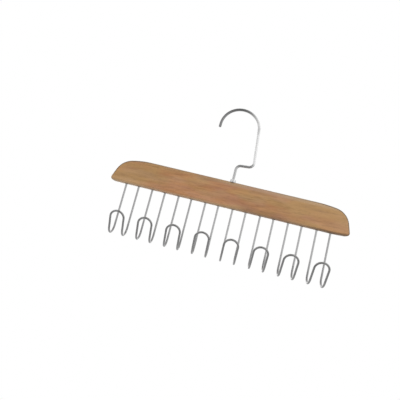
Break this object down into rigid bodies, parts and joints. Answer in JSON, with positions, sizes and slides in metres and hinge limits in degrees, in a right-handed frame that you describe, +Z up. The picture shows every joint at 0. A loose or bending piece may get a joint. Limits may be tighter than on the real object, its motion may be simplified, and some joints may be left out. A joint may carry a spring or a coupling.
{
  "type": "tie hanger",
  "caption": "Wooden bar hanger for ties and belts, with a row of bent wire hooks in its underside and a cranked wire hook that swivels in a metal bush on top.",
  "frame": {"origin": "the highest point inside the swivel hook's arch, where it rests on a clothes rail", "axes": "+X along the bar to the right as pictured, +Y away from the viewer, out of the bar's flat back, +Z up"},
  "size_m": [0.3, 0.036, 0.1955],
  "materials": {
    "wood": "thin satin lacquer",
    "bush": "polished, nickel plated",
    "hook_wire": "polished, nickel plated",
    "tie_wire": "polished, nickel plated"
  },
  "bodies": {
    "hook": {"swivel_hook": "hook_wire"},
    "hanger": {"bar": "wood", "hook_bush": "bush", "tie_hook_1": "tie_wire", "tie_hook_2": "tie_wire", "tie_hook_3": "tie_wire", "tie_hook_4": "tie_wire", "tie_hook_5": "tie_wire", "tie_hook_6": "tie_wire", "tie_hook_7": "tie_wire", "tie_hook_8": "tie_wire"}
  },
  "joints": [
    {"name": "hook_swivel", "type": "hinge", "parent": "hook", "child": "hanger", "pos_m": [0.00796, 0, -0.0941], "axis": [0, 0, 1], "continuous": true}
  ]
}
